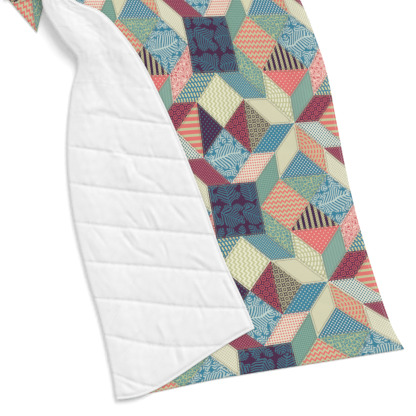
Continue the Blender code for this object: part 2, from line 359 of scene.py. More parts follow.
    def tuck_frame(self, plan: Array) -> tuple[Array, Array]:
        """Return the distances of plan points along the top fold and beyond it.

        Args:
            plan: Plan points, one row each.

        Returns:
            The distances along the fold, and those beyond it.
        """
        turn = math.radians(self.tuck_angle)
        x, y = plan[:, 0] - self.tuck_x, plan[:, 1] - self.tuck_y
        return x * math.cos(turn) + y * math.sin(turn), y * math.cos(turn) - x * math.sin(turn)

    def tuck_place(self, along: Array, beyond: Array) -> Array:
        """Return the plan points at distances along and beyond the top fold.

        Args:
            along: Distances along the fold.
            beyond: Distances beyond it.

        Returns:
            Plan points, one row each.
        """
        turn = math.radians(self.tuck_angle)
        return np.stack((self.tuck_x + along * math.cos(turn) - beyond * math.sin(turn),
                         self.tuck_y + along * math.sin(turn) + beyond * math.cos(turn)), axis=1)

    def corner_lift(self, along: Array, below: Array) -> Array:
        """Return how much the turned-under corner lifts what lies on it, from 0 to 1."""
        side = smooth_step((self.corner_width + self.ramp - along) / self.ramp)
        return side * smooth_step((self.corner_length + self.ramp - below) / self.ramp)

    def place(self, u: Array, v: Array) -> Array:
        """Place points of the quilt's middle surface.

        Args:
            u: Cloth coordinates across.
            v: Cloth coordinates along.

        Returns:
            Points in space, one row each.
        """
        plan, raised = self.unfolded(u, v)
        along, beyond = self.tuck_frame(plan)
        layer = 2.0 * self.roll_radius
        away = (self.read(v, "fold") - u - self.roll_half - self.flap_hold) / self.flap_settle
        near_top = smooth_step(1.0 + (beyond + self.hold_start) / self.hold_length)
        held = np.maximum(1.0 - smooth_step(away), near_top)
        ridge = sum(r.heights(plan) for r in RIDGES) * smooth_step(away)
        ridge = ridge * smooth_step(-beyond / self.ridge_fade)
        settled = self.flap_clearance + (raised - self.flap_clearance) * held + ridge
        over = np.where(away > 0.0, settled, raised)
        under_run = smooth_step((self.tuck_length + self.ramp + beyond) / self.ramp)
        lift = layer * self.corner_lift(along, -beyond) + 2.0 * self.tuck_radius * under_run
        swell = sum(s.heights(plan) for s in SWELLS) * smooth_step(-beyond / self.swell_fade)
        top = np.column_stack((plan, self.rest_height + lift + swell + over))

        radius = self.tuck_radius + raised
        middle = self.rest_height + layer * self.corner_lift(along, np.zeros(len(along))) + self.tuck_radius
        angle = math.pi * np.clip(beyond / self.tuck_span, 0.0, 1.0)
        bend = np.column_stack((self.tuck_place(along, radius * np.sin(angle)),
                                middle + radius * np.cos(angle)))
        below = beyond - self.tuck_span
        lower = self.rest_height + layer * self.corner_lift(along, below) - raised
        under = np.column_stack((self.tuck_place(along, -below), lower))
        space = np.where((beyond > self.tuck_span)[:, None], under,
                         np.where((beyond > 0.0)[:, None], bend, top))
        return space - np.array((self.middle_x, self.middle_y, 0.0))

    def surface(self, u: Array, v: Array, offset: Array) -> Array:
        """Place points off the middle surface.

        Args:
            u: Cloth coordinates across.
            v: Cloth coordinates along.
            offset: Distances towards the printed side.

        Returns:
            Points in space, one row each.
        """
        step = self.normal_step
        u0, u1 = np.maximum(u - step, 0.0), np.minimum(u + step, self.width)
        v0, v1 = np.maximum(v - step, 0.0), np.minimum(v + step, self.length)
        normal = np.cross(self.place(u1, v) - self.place(u0, v), self.place(u, v1) - self.place(u, v0))
        normal /= np.linalg.norm(normal, axis=1)[:, None]
        return self.place(u, v) + normal * offset[:, None]


@dataclass(frozen=True)
class Quilting:
    """Two families of sewn seams that cross in diamonds, and the loft between them.

    From taut_start along the cloth the quilting smooths out. By default it never does.
    """

    spacing: float = 0.140
    slope: float = 31.0
    rising_start: float = 0.073
    falling_start: float = 0.130
    groove: float = 0.011
    groove_power: float = 1.3
    narrow: float = 0.35
    falling_depth: float = 1.0
    crown: float = 0.0038
    seam: float = 0.0022
    pressed: float = 0.0038
    edge: float = 0.0011
    margin: float = 0.016
    hem_width: float = 0.010
    hem_height: float = 0.0012
    hem_fade: float = 0.014
    gap: float = 0.00015
    taut_start: float = math.inf
    taut_reach: float = 0.280
    taut_share: float = 0.85
    least_points: int = 3

    def distance(self, u: Array, v: Array, direction: float) -> Array:
        """Return the distance to the first seam of a family, which rises (+1) or falls (-1).

        Args:
            u: Cloth coordinates across.
            v: Cloth coordinates along.
            direction: +1 for the rising family, -1 for the falling one.

        Returns:
            The signed distance at each point.
        """
        slope = math.radians(self.slope)
        first = self.rising_start if direction > 0 else self.falling_start
        return v * math.cos(slope) - direction * u * math.sin(slope) - first

    def nearest(self, u: Array, v: Array, direction: float) -> Array:
        """Return the distance to the nearest seam of a family."""
        cycle = np.mod(self.distance(u, v, direction) / self.spacing, 1.0)
        return np.minimum(cycle, 1.0 - cycle) * self.spacing

    def puff(self, u: Array, v: Array) -> Array:
        """Return how far the cloth puffs up, from 0 on a strong seam to 1 in a diamond's middle.

        Args:
            u: Cloth coordinates across.
            v: Cloth coordinates along.

        Returns:
            The share of the full puff at each point.
        """
        total = np.ones(len(u))
        for direction, depth in ((1.0, 1.0), (-1.0, self.falling_depth)):
            away = self.nearest(u, v, direction)
            sharp = 1.0 - np.exp(-(away / self.groove) ** self.groove_power)
            broad = np.sin(math.pi / 2.0 * np.clip(away / (self.spacing / 2.0), 0.0, 1.0))
            rise = self.narrow * sharp + (1.0 - self.narrow) * broad
            total = total * (1.0 - depth * (1.0 - rise))
        return total

    def hem(self, inside: Array) -> tuple[Array, Array]:
        """Return the turned hem's height, and how far the cloth has left it, from 0 to 1.

        Args:
            inside: Distance from the quilt's edge.

        Returns:
            The height of the round hem, and the share of the full loft.
        """
        across = np.clip(inside / self.hem_width, 0.0, 1.0)
        return self.edge + self.hem_height * np.sin(math.pi * across), smooth_step(
            (inside - self.hem_width) / self.hem_fade)

    def thickness(self, u: Array, v: Array, drape: Drape, lofted: Array, relief: Array) -> Array:
        """Return a panel's thickness with its half of the loft.

        Args:
            u: Cloth coordinates across.
            v: Cloth coordinates along.
            drape: The drape, for the cloth's size.
            lofted: 1 where the cloth is free to puff up, 0 where it is pressed flat.
            relief: Creases and folds to add.

        Returns:
            Thickness at each point.
        """
        puff = self.puff(u, v)
        taut = self.taut_share * smooth_step((v - self.taut_start) / self.taut_reach)
        puff = puff + (1.0 - puff) * taut
        full = self.seam + (self.crown - self.seam) * puff
        full = full * lofted + self.pressed * (1.0 - lofted)
        inside = np.minimum(np.minimum(u, drape.width - u), np.minimum(v, drape.length - v))
        rolled, share = self.hem(inside)
        return np.maximum(rolled + (full + relief - self.edge) * share, self.edge)

    def lines(self, drape: Drape, step: float) -> list[tuple[Array, Array]]:
        """Return each seam as runs of (u, v) points.

        Args:
            drape: The drape, for the cloth's size.
            step: Length between points.

        Returns:
            Pairs of arrays, one pair for each seam.
        """
        slope = math.radians(self.slope)
        runs = []
        corner_u = np.array((0.0, drape.width, 0.0, drape.width))
        corner_v = np.array((0.0, 0.0, drape.length, drape.length))
        for direction, first in ((1.0, self.rising_start), (-1.0, self.falling_start)):
            reach = self.distance(corner_u, corner_v, direction) / self.spacing
            for k in range(math.floor(reach.min()), math.ceil(reach.max()) + 1):
                u = np.arange(self.margin, drape.width - self.margin, step * math.cos(slope))
                v = (first + k * self.spacing) / math.cos(slope) + direction * u * math.tan(slope)
                keep = (v > self.margin) & (v < drape.length - self.margin)
                if keep.sum() > self.least_points:
                    runs.append((u[keep], v[keep]))
        return runs


class Motif(Enum):
    """How a printed fabric's figure is drawn."""

    PLAIN = "plain"
    DOTS = "dots"
    MEDALLIONS = "medallions"
    ARCS = "arcs of dashes"
    STRIPES = "stripes"
    BRAID = "stripes with a braid between them"
    CHEVRONS = "chevrons"
    FERNS = "fern fronds"
    LACE = "lace"


class Part(Enum):
    """What a band of a motif is coloured with."""

    GROUND = 0
    FIGURE = 1
    ACCENT = 2


CELL_MIDDLE = (0.5, 0.5, 0.0)
NOISE_MIDDLE = (0.5, 0.5, 0.5)

# Where each colour starts along a motif's field.
MASK_BANDS = ((0.0, Part.GROUND), (0.5, Part.FIGURE))
MEDALLION_BANDS = ((0.0, Part.ACCENT), (0.08, Part.FIGURE), (0.19, Part.ACCENT),
                   (0.26, Part.GROUND), (0.32, Part.FIGURE), (0.42, Part.ACCENT))
LACE_BANDS = ((0.0, Part.FIGURE), (0.07, Part.GROUND), (0.17, Part.ACCENT), (0.27, Part.GROUND))


@dataclass(frozen=True)
class Frond:
    """A printed fern frond with slanted leaflets, one in each square of its repeat."""

    pitch_mm: float
    half: float
    width: float
    leaflets: float
    angle: Optional[float] = None
    slant: float = 0.7
    gap: float = 0.54
    stem_half: float = 0.012
    bend: float = 0.22
    bend_scale: float = 2.2

    def draw(self, tree: bpy.types.NodeTree,
             place: bpy.types.NodeSocket) -> tuple[bpy.types.NodeSocket, bpy.types.NodeSocket]:
        """Draw the frond.

        Args:
            tree: The material's node tree.
            place: Cloth coordinates in metres.

        Returns:
            The mask of the leaflets and stem, and the mask of the room round the frond.
        """
        scale = 1000.0 / self.pitch_mm
        even = add(tree, "ShaderNodeMapping",
                   {"Vector": place, "Scale": (scale, scale, scale)}).outputs["Vector"]
        cell = add(tree, "ShaderNodeVectorMath", {0: even}, operation="FLOOR").outputs[0]
        inner = add(tree, "ShaderNodeVectorMath", {0: even}, operation="FRACTION").outputs[0]
        middle = add(tree, "ShaderNodeVectorMath", {0: inner, 1: CELL_MIDDLE}, operation="SUBTRACT")
        turned = add(tree, "ShaderNodeVectorRotate", {"Vector": middle.outputs[0]}, rotation_type="Z_AXIS")
        if self.angle is None:
            chance = add(tree, "ShaderNodeTexWhiteNoise", {"Vector": cell}).outputs["Value"]
            angle = add(tree, "ShaderNodeMath", {0: chance, 1: math.tau}, operation="MULTIPLY").outputs[0]
            tree.links.new(angle, turned.inputs["Angle"])
        else:
            turned.inputs["Angle"].default_value = math.radians(self.angle)
        noise = add(tree, "ShaderNodeTexNoise", {"Vector": even, "Scale": self.bend_scale, "Detail": 1.0})
        even_noise = add(tree, "ShaderNodeVectorMath", {0: noise.outputs["Color"], 1: NOISE_MIDDLE},
                         operation="SUBTRACT").outputs[0]
        shift = add(tree, "ShaderNodeVectorMath", {0: even_noise, "Scale": self.bend},
                    operation="SCALE").outputs[0]
        spot = add(tree, "ShaderNodeVectorMath", {0: turned.outputs["Vector"], 1: shift}, operation="ADD")
        parts = add(tree, "ShaderNodeSeparateXYZ", {"Vector": spot.outputs[0]})
        along = parts.outputs["Y"]
        side = add(tree, "ShaderNodeMath", {0: parts.outputs["X"]}, operation="ABSOLUTE").outputs[0]
        slant = add(tree, "ShaderNodeMath", {0: side, 1: -self.slant, 2: along},
                    operation="MULTIPLY_ADD").outputs[0]
        phase = add(tree, "ShaderNodeMath", {0: slant, 1: self.leaflets}, operation="MULTIPLY").outputs[0]
        comb = add(tree, "ShaderNodeMath", {0: phase}, operation="FRACT").outputs[0]
        leaflet = add(tree, "ShaderNodeMath", {0: comb, 1: self.gap}, operation="GREATER_THAN").outputs[0]
        reach = add(tree, "ShaderNodeMath", {0: along, 1: self.half}, operation="DIVIDE").outputs[0]
        square = add(tree, "ShaderNodeMath", {0: reach, 1: reach}, operation="MULTIPLY").outputs[0]
        taper = add(tree, "ShaderNodeMath", {0: 1.0, 1: square}, operation="SUBTRACT", use_clamp=True)
        rim = add(tree, "ShaderNodeMath", {0: taper.outputs[0], 1: self.width},
                  operation="MULTIPLY").outputs[0]
        within = add(tree, "ShaderNodeMath", {0: side, 1: rim}, operation="LESS_THAN").outputs[0]
        leaves = add(tree, "ShaderNodeMath", {0: leaflet, 1: within}, operation="MULTIPLY").outputs[0]
        thin = add(tree, "ShaderNodeMath", {0: side, 1: self.stem_half}, operation="LESS_THAN").outputs[0]
        stem = add(tree, "ShaderNodeMath", {0: thin, 1: within}, operation="MULTIPLY").outputs[0]
        frond = add(tree, "ShaderNodeMath", {0: leaves, 1: stem}, operation="MAXIMUM").outputs[0]
        room = add(tree, "ShaderNodeMath", {0: 1.0, 1: within}, operation="SUBTRACT").outputs[0]
        return frond, room


@dataclass(frozen=True)
class Fabric:
    """Plain-weave quilting cotton with a figure printed on it.

    The pitch is the size of the figure's repeat. A real thread of this cotton is about 0.3 mm wide,
    too fine to show, so weave_mm draws the weave coarser.
    """

    name: str
    motif: Motif
    ground: str
    figure: str = "#ffffff"
    pitch_mm: float = 20.0
    share: float = 0.5
    angle: float = 0.0
    accent: str = "#ffffff"
    centre: tuple[float, float] = (0.0, 0.0)
    fronds: tuple[Frond, ...] = ()
    slope: float = 1.2
    braid_rows: float = 3.0
    braid_share: float = 0.30
    petals: float = 8.0
    petal_depth: float = 0.03
    ring_mm: float = 13.5
    dash_mm: float = 22.0
    dash_share: float = 0.74
    curl: float = 0.9
    curl_scale: float = 1.3
    curl_spread: float = 0.8
    outline: str = "#7f7664"
    outline_strength: float = 0.75
    outline_inset: float = 0.0055
    outline_half: float = 0.0011
    weave_mm: float = 1.4
    weave_strength: float = 0.12
    weave_depth: float = 0.0004
    roughness: float = 0.92
    specular: float = 0.15

    def bands(self) -> tuple[tuple[float, Part], ...]:
        """Return where each colour starts along the pattern's field."""
        if self.motif is Motif.MEDALLIONS:
            return MEDALLION_BANDS
        if self.motif is Motif.LACE:
            return LACE_BANDS
        if self.motif in (Motif.ARCS, Motif.BRAID, Motif.FERNS):
            return MASK_BANDS
        return ((0.0, Part.FIGURE), (self.share, Part.GROUND))

    def pattern(self, tree: bpy.types.NodeTree) -> bpy.types.NodeSocket:
        """Build the field whose bands the motif colours, one cycle for each repeat.

        Args:
            tree: The material's node tree.

        Returns:
            The socket with the field.
        """
        place = add(tree, "ShaderNodeUVMap", uv_map="cloth").outputs["UV"]
        scale = 1000.0 / self.pitch_mm
        if self.motif is Motif.FERNS:
            return self.ferns(tree, place)
        shift = [0.0, 0.0]
        if self.motif is Motif.ARCS:
            shift = [0.5 - part / PRINT_REPEAT for part in self.centre]
        turned = add(tree, "ShaderNodeMapping",
                     {"Vector": place, "Rotation": (0.0, 0.0, math.radians(self.angle)),
                      "Location": (*shift, 0.0), "Scale": (scale, scale, scale)}).outputs["Vector"]
        if self.motif is Motif.LACE:
            return self.lace(tree, turned)
        if self.motif in (Motif.DOTS, Motif.MEDALLIONS, Motif.ARCS):
            return self.cells(tree, turned)
        parts = add(tree, "ShaderNodeSeparateXYZ", {"Vector": turned})
        across, along = parts.outputs["X"], parts.outputs["Y"]
        if self.motif is Motif.CHEVRONS:
            zigzag = add(tree, "ShaderNodeMath", {0: across, 1: 0.5}, operation="PINGPONG").outputs[0]
            slant = add(tree, "ShaderNodeMath", {0: zigzag, 1: self.slope, 2: along},
                        operation="MULTIPLY_ADD")
            return add(tree, "ShaderNodeMath", {0: slant.outputs[0]}, operation="FRACT").outputs[0]
        cycle = add(tree, "ShaderNodeMath", {0: across}, operation="FRACT").outputs[0]
        if self.motif is Motif.STRIPES:
            return cycle
        stripe = add(tree, "ShaderNodeMath", {0: cycle, 1: self.share}, operation="LESS_THAN").outputs[0]
        middle = add(tree, "ShaderNodeMath", {0: cycle, 1: (1.0 + self.share) / 2.0},
                     operation="SUBTRACT").outputs[0]
        side = add(tree, "ShaderNodeMath", {0: middle}, operation="ABSOLUTE").outputs[0]
        knit = add(tree, "ShaderNodeMath", {0: side, 1: self.slope, 2: along},
                   operation="MULTIPLY_ADD").outputs[0]
        rows = add(tree, "ShaderNodeMath", {0: knit, 1: self.braid_rows}, operation="MULTIPLY").outputs[0]
        comb = add(tree, "ShaderNodeMath", {0: rows}, operation="FRACT").outputs[0]
        marks = add(tree, "ShaderNodeMath", {0: comb, 1: self.braid_share}, operation="LESS_THAN").outputs[0]
        return add(tree, "ShaderNodeMath", {0: stripe, 1: marks}, operation="MAXIMUM").outputs[0]

    def cells(self, tree: bpy.types.NodeTree, turned: bpy.types.NodeSocket) -> bpy.types.NodeSocket:
        """Return a field round the centres of a staggered grid of cells.

        Args:
            tree: The material's node tree.
            turned: Pattern coordinates.

        Returns:
            The distance to the nearest centre for dots, a lobed distance for medallions, and a mask
            of dashes on rings for arcs.
        """
        spots = []
        for shift in (0.0,) if self.motif is Motif.ARCS else (0.0, 0.5):
            moved = add(tree, "ShaderNodeVectorMath", {0: turned, 1: (shift, shift, 0.0)}, operation="ADD")
            inner = add(tree, "ShaderNodeVectorMath", {0: moved.outputs[0]}, operation="FRACTION")
            centred = add(tree, "ShaderNodeVectorMath", {0: inner.outputs[0], 1: CELL_MIDDLE},
                          operation="SUBTRACT")
            flat = add(tree, "ShaderNodeVectorMath", {0: centred.outputs[0], 1: (1.0, 1.0, 0.0)},
                       operation="MULTIPLY").outputs[0]
            away = add(tree, "ShaderNodeVectorMath", {0: flat}, operation="LENGTH").outputs["Value"]
            if self.motif is not Motif.DOTS:
                away = self.lobed(tree, flat, away)
            spots.append(away)
        return add(tree, "ShaderNodeMath", {0: spots[0], 1: spots[-1]}, operation="MINIMUM").outputs[0]

    def lobed(self, tree: bpy.types.NodeTree, flat: bpy.types.NodeSocket,
              away: bpy.types.NodeSocket) -> bpy.types.NodeSocket:
        """Turn the distance from a centre into petals, or into rings of dashes.

        Args:
            tree: The material's node tree.
            flat: The offset from the centre.
            away: The distance from the centre.

        Returns:
            The lobed distance, or the mask of dashes.
        """
        parts = add(tree, "ShaderNodeSeparateXYZ", {"Vector": flat})
        angle = add(tree, "ShaderNodeMath", {0: parts.outputs["Y"], 1: parts.outputs["X"]},
                    operation="ARCTAN2").outputs[0]
        if self.motif is Motif.MEDALLIONS:
            petals = add(tree, "ShaderNodeMath", {0: angle, 1: self.petals}, operation="MULTIPLY").outputs[0]
            wave = add(tree, "ShaderNodeMath", {0: petals}, operation="SINE").outputs[0]
            return add(tree, "ShaderNodeMath", {0: wave, 1: self.petal_depth, 2: away},
                       operation="MULTIPLY_ADD").outputs[0]
        rings = add(tree, "ShaderNodeMath", {0: away, 1: self.pitch_mm / self.ring_mm},
                    operation="MULTIPLY").outputs[0]
        ring = add(tree, "ShaderNodeMath", {0: rings}, operation="FRACT").outputs[0]
        drawn = add(tree, "ShaderNodeMath", {0: ring, 1: self.share}, operation="LESS_THAN").outputs[0]
        whole = add(tree, "ShaderNodeMath", {0: rings}, operation="FLOOR").outputs[0]
        radius = add(tree, "ShaderNodeMath", {0: whole, 1: 0.5}, operation="ADD").outputs[0]
        round_ring = add(tree, "ShaderNodeMath", {0: angle, 1: radius}, operation="MULTIPLY").outputs[0]
        turns = add(tree, "ShaderNodeMath", {0: round_ring, 1: self.ring_mm / self.dash_mm},
                    operation="MULTIPLY").outputs[0]
        dash = add(tree, "ShaderNodeMath", {0: turns}, operation="FRACT").outputs[0]
        kept = add(tree, "ShaderNodeMath", {0: dash, 1: self.dash_share}, operation="LESS_THAN").outputs[0]
        return add(tree, "ShaderNodeMath", {0: drawn, 1: kept}, operation="MULTIPLY").outputs[0]

    def lace(self, tree: bpy.types.NodeTree, turned: bpy.types.NodeSocket) -> bpy.types.NodeSocket:
        """Return the distance to the sides of warped cells, whose bands draw curling lines.

        Args:
            tree: The material's node tree.
            turned: Pattern coordinates.

        Returns:
            The socket with the distance.
        """
        noise = add(tree, "ShaderNodeTexNoise",
                    {"Vector": turned, "Scale": self.curl_scale, "Detail": 1.0})
        shift = add(tree, "ShaderNodeVectorMath", {0: noise.outputs["Color"], "Scale": self.curl},
                    operation="SCALE").outputs[0]
        warped = add(tree, "ShaderNodeVectorMath", {0: turned, 1: shift}, operation="ADD").outputs[0]
        return add(tree, "ShaderNodeTexVoronoi",
                   {"Vector": warped, "Scale": 1.0, "Randomness": self.curl_spread},
                   feature="DISTANCE_TO_EDGE").outputs["Distance"]

    def ferns(self, tree: bpy.types.NodeTree, place: bpy.types.NodeSocket) -> bpy.types.NodeSocket:
        """Return 1 on the fronds, the smaller ones only where the larger leave room, 0 elsewhere.

        Args:
            tree: The material's node tree.
            place: Cloth coordinates in metres.

        Returns:
            The socket with the mask.
        """
        mask = None
        for frond in reversed(self.fronds):
            leaf, room = frond.draw(tree, place)
            if mask is not None:
                mask = add(tree, "ShaderNodeMath", {0: mask, 1: room}, operation="MULTIPLY").outputs[0]
                leaf = add(tree, "ShaderNodeMath", {0: leaf, 1: mask}, operation="MAXIMUM").outputs[0]
            mask = leaf
        return mask

    def colour(self, tree: bpy.types.NodeTree) -> bpy.types.NodeSocket:
        """Return the fabric's printed colour, before the patch outline is drawn on it.

        Args:
            tree: The material's node tree.

        Returns:
            The socket with the colour.
        """
        if self.motif is Motif.PLAIN:
            constant = add(tree, "ShaderNodeRGB")
            constant.outputs[0].default_value = hex_linear(self.ground)
            return constant.outputs[0]
        ramp = add(tree, "ShaderNodeValToRGB", {"Fac": self.pattern(tree)})
        ramp.color_ramp.interpolation = "CONSTANT"
        paints = {Part.GROUND: self.ground, Part.FIGURE: self.figure, Part.ACCENT: self.accent}
        bands = self.bands()
        while len(ramp.color_ramp.elements) < len(bands):
            ramp.color_ramp.elements.new(1.0)
        for element, (position, part) in zip(ramp.color_ramp.elements, bands):
            element.position = position
            element.color = hex_linear(paints[part])
        return ramp.outputs["Color"]

    def material(self) -> bpy.types.Material:
        """Build the fabric's material.

        Returns:
            A matt cotton with its print, the patch's outline line and a fine weave.
        """
        # Cotton scatters light evenly and the print lies in its dull weave, so the colours look flat and dry.
        material = bpy.data.materials.new("printed quilting cotton, " + self.name)
        material.use_nodes = True
        tree = material.node_tree
        shader = tree.nodes["Principled BSDF"]
        edge = add(tree, "ShaderNodeAttribute", attribute_name="patch_edge").outputs["Fac"]
        line = add(tree, "ShaderNodeMath", {0: edge, 1: self.outline_inset, 2: self.outline_half},
                   operation="COMPARE").outputs[0]
        faded = add(tree, "ShaderNodeMath", {0: line, 1: self.outline_strength},
                    operation="MULTIPLY").outputs[0]
        mixed = add(tree, "ShaderNodeMix", {"Factor": faded, 6: self.colour(tree),
                                            7: hex_linear(self.outline)}, data_type="RGBA")
        tree.links.new(mixed.outputs[2], shader.inputs["Base Color"])
        place = add(tree, "ShaderNodeUVMap", uv_map="cloth").outputs["UV"]
        weave = add(tree, "ShaderNodeTexNoise",
                    {"Vector": place, "Scale": 1000.0 / self.weave_mm, "Detail": 2.0})
        bump = add(tree, "ShaderNodeBump",
                   {"Height": weave.outputs["Fac"], "Strength": self.weave_strength,
                    "Distance": self.weave_depth})
        tree.links.new(bump.outputs["Normal"], shader.inputs["Normal"])
        shader.inputs["Roughness"].default_value = self.roughness
        shader.inputs["Specular IOR Level"].default_value = self.specular
        return material


@dataclass(frozen=True)
class BrushedBacking:
    """White brushed microfibre, finely napped.

    The real nap is finer than 1 mm and would not show, so nap_mm draws it coarser.
    """

    quilting: Quilting
    tint: str = "#e6e6e6"
    roughness: float = 0.95
    specular: float = 0.1
    nap_mm: float = 2.4
    nap_strength: float = 0.15
    nap_depth: float = 0.0005
    pucker_mm: float = 29.4
    pucker_twist: float = 0.8
    pucker_strength: float = 0.85
    pucker_depth: float = 0.004
    pucker_reach: float = 0.045
    pucker_rest: float = 0.30
    seam_reach: float = 0.011
    seam_depth: float = 0.0017
    falling_share: float = 0.12

    def seam_distance(self, tree: bpy.types.NodeTree, place: bpy.types.NodeSocket,
                      direction: float) -> bpy.types.NodeSocket:
        """Return the distance to the nearest seam of a family.

        Args:
            tree: The material's node tree.
            place: Cloth coordinates from the star's centre.
            direction: +1 for the rising family, -1 for the falling one.

        Returns:
            The distance in metres.
        """
        slope = math.radians(self.quilting.slope)
        star = np.array(PRINT_CENTRE) * PRINT_UNIT
        first = -float(self.quilting.distance(star[0], star[1], direction))
        across = add(tree, "ShaderNodeVectorMath",
                     {0: place, 1: (-direction * math.sin(slope), math.cos(slope), 0.0)},
                     operation="DOT_PRODUCT").outputs["Value"]
        away = add(tree, "ShaderNodeMath", {0: across, 1: first}, operation="SUBTRACT").outputs[0]
        return add(tree, "ShaderNodeMath", {0: away, 1: self.quilting.spacing / 2.0},
                   operation="PINGPONG").outputs[0]

    def material(self) -> bpy.types.Material:
        """Build the backing's material.

        Returns:
            A white matt cloth with seam lines that fade where it is taut, puckers along them and a nap.
        """
        # The nap hides the weave and softens every shade, so seams and puckers show as soft grey lines.
        material = bpy.data.materials.new("brushed white microfibre, woven")
        material.use_nodes = True
        tree = material.node_tree
        shader = tree.nodes["Principled BSDF"]
        shader.inputs["Base Color"].default_value = hex_linear(self.tint)
        shader.inputs["Roughness"].default_value = self.roughness
        shader.inputs["Specular IOR Level"].default_value = self.specular
        place = add(tree, "ShaderNodeUVMap", uv_map="cloth").outputs["UV"]
        falling = self.seam_distance(tree, place, -1.0)
        rising = self.seam_distance(tree, place, 1.0)
        strong = add(tree, "ShaderNodeMapRange", {"Value": rising, "From Max": self.seam_reach},
                     interpolation_type="SMOOTHSTEP").outputs["Result"]
        faint = add(tree, "ShaderNodeMapRange", {"Value": falling, "From Max": self.seam_reach,
                                                 "To Max": self.falling_share},
                    interpolation_type="SMOOTHSTEP").outputs["Result"]
        both = add(tree, "ShaderNodeMath", {0: strong, 1: faint}, operation="ADD").outputs[0]
        parts = add(tree, "ShaderNodeSeparateXYZ", {"Vector": place})
        start = self.quilting.taut_start - PRINT_CENTRE[1] * PRINT_UNIT
        slack = add(tree, "ShaderNodeMapRange", {"Value": parts.outputs["Y"], "From Min": start,
                                                 "From Max": start + self.quilting.taut_reach, "To Min": 1.0,
                                                 "To Max": 1.0 - self.quilting.taut_share}).outputs["Result"]
        both = add(tree, "ShaderNodeMath", {0: both, 1: slack}, operation="MULTIPLY").outputs[0]
        seams = add(tree, "ShaderNodeBump", {"Height": both, "Strength": 1.0, "Distance": self.seam_depth})
        fade = add(tree, "ShaderNodeMapRange", {"Value": rising, "From Max": self.pucker_reach,
                                                "To Min": 1.0, "To Max": self.pucker_rest})
        pucker = add(tree, "ShaderNodeTexNoise",
                     {"Vector": place, "Scale": 1000.0 / self.pucker_mm, "Detail": 3.0,
                      "Distortion": self.pucker_twist}).outputs["Fac"]
        gathered = add(tree, "ShaderNodeMath", {0: pucker, 1: fade.outputs["Result"]},
                       operation="MULTIPLY").outputs[0]
        folds = add(tree, "ShaderNodeBump", {"Height": gathered, "Strength": self.pucker_strength,
                                             "Distance": self.pucker_depth,
                                             "Normal": seams.outputs["Normal"]})
        nap = add(tree, "ShaderNodeTexNoise",
                  {"Vector": place, "Scale": 1000.0 / self.nap_mm, "Detail": 2.0})
        bump = add(tree, "ShaderNodeBump", {"Height": nap.outputs["Fac"], "Strength": self.nap_strength,
                                            "Distance": self.nap_depth,
                                            "Normal": folds.outputs["Normal"]})
        tree.links.new(bump.outputs["Normal"], shader.inputs["Normal"])
        return material


@dataclass(frozen=True)
class PolyesterThread:
    """Spun polyester sewing thread, white and hardly duller than the cloth."""

    tint: str = "#dedee0"
    roughness: float = 0.7

    def material(self) -> bpy.types.Material:
        """Build the thread's material."""
        # Spun fibres break up the shine, so a seam shows as a dull line of small shadows.
        material = bpy.data.materials.new("spun polyester thread, sewn")
        material.use_nodes = True
        shader = material.node_tree.nodes["Principled BSDF"]
        shader.inputs["Base Color"].default_value = hex_linear(self.tint)
        shader.inputs["Roughness"].default_value = self.roughness
        return material


PLUM, TEAL, SLATE, CREAM = "#4a2a49", "#3a8098", "#437d90", "#cfcdaf"
CORAL, SALMON = "#df6b6b", "#e0716d"

LARGE_FROND = Frond(224.0, 0.34, 0.19, 17.0, 75.0)
MIDDLE_FROND = Frond(104.0, 0.50, 0.40, 9.0)
SMALL_FROND = Frond(50.0, 0.50, 0.34, 5.0)
TINY_FROND = Frond(33.0, 0.50, 0.40, 3.0)

PLUM_ON_CORAL = Fabric("plum medallions on crimson", Motif.MEDALLIONS, "#93415a", PLUM, 36.0,
                       accent="#cf5f64")
SAGE_PINSTRIPE = Fabric("fine pinstripes on sage", Motif.STRIPES, "#88a99b", "#7c9f92", 13.0, 0.42)
GREEN_ARCS = Fabric("white arcs on green", Motif.ARCS, "#bebe93", "#e4e4d2", REPEAT_MM, 0.46,
                    centre=(-1.0, 1.0))
CREAM_PLAIN = Fabric("plain cream", Motif.PLAIN, CREAM)
TEAL_DOTS = Fabric("cream dots on teal", Motif.DOTS, TEAL, "#c3cfc0", 18.0, 0.14)
CORAL_ARCS = Fabric("coral arcs on green", Motif.ARCS, "#c4b892", CORAL, REPEAT_MM, 0.52,
                    centre=(0.0, -1.0))
TEAL_CHECK = Fabric("fine teal check on white", Motif.DOTS, "#e6e5d2", "#3b7787", 13.5, 0.26)
CORAL_LACE = Fabric("white lace on coral", Motif.LACE, "#ca5a5f", "#ebcdc1", 19.0, accent="#ebcdc1")
TEAL_ARCS = Fabric("yellow arcs on teal", Motif.ARCS, TEAL, "#ddd397", REPEAT_MM, 0.42,
                   centre=(1.0, 1.0))
SAGE_LACE = Fabric("lace on sage", Motif.LACE, "#7ba394", "#b9bf8a", 13.0, accent=TEAL)
TEAL_PINS = Fabric("fine yellow dots on teal", Motif.DOTS, TEAL, "#b4c0a2", 12.0, 0.20)
CORAL_CHECK = Fabric("coral check dots on white", Motif.DOTS, "#dcdac6", SALMON, 15.0, 0.23, 45.0)
SAGE_CHECK = Fabric("fine dark check on sage", Motif.DOTS, "#8aab9d", "#5f8c7c", 11.0, 0.27, 45.0)
CRIMSON_PINS = Fabric("pin dots on crimson", Motif.DOTS, "#85334f", "#bd7a83", 11.5, 0.19)
CREAM_CHECK = Fabric("fine khaki check on cream", Motif.DOTS, "#dcdac4", "#b9b996", 12.0, 0.21)
CORAL_DOTS = Fabric("cream dots on coral", Motif.DOTS, "#dd7070", "#e5cdb8", 21.0, 0.11)
PLUM_BRAID = Fabric("plum stripes and braid on cream", Motif.BRAID, "#cfc99c", "#43254a", 26.0)
TEAL_GINGHAM = Fabric("white dots on teal", Motif.DOTS, "#2f7890", "#d3ddd5", 15.0, 0.18)
CORAL_STRIPES = Fabric("coral stripes on green", Motif.STRIPES, "#bdc096", "#da726e", 26.0, 0.62, 90.0)
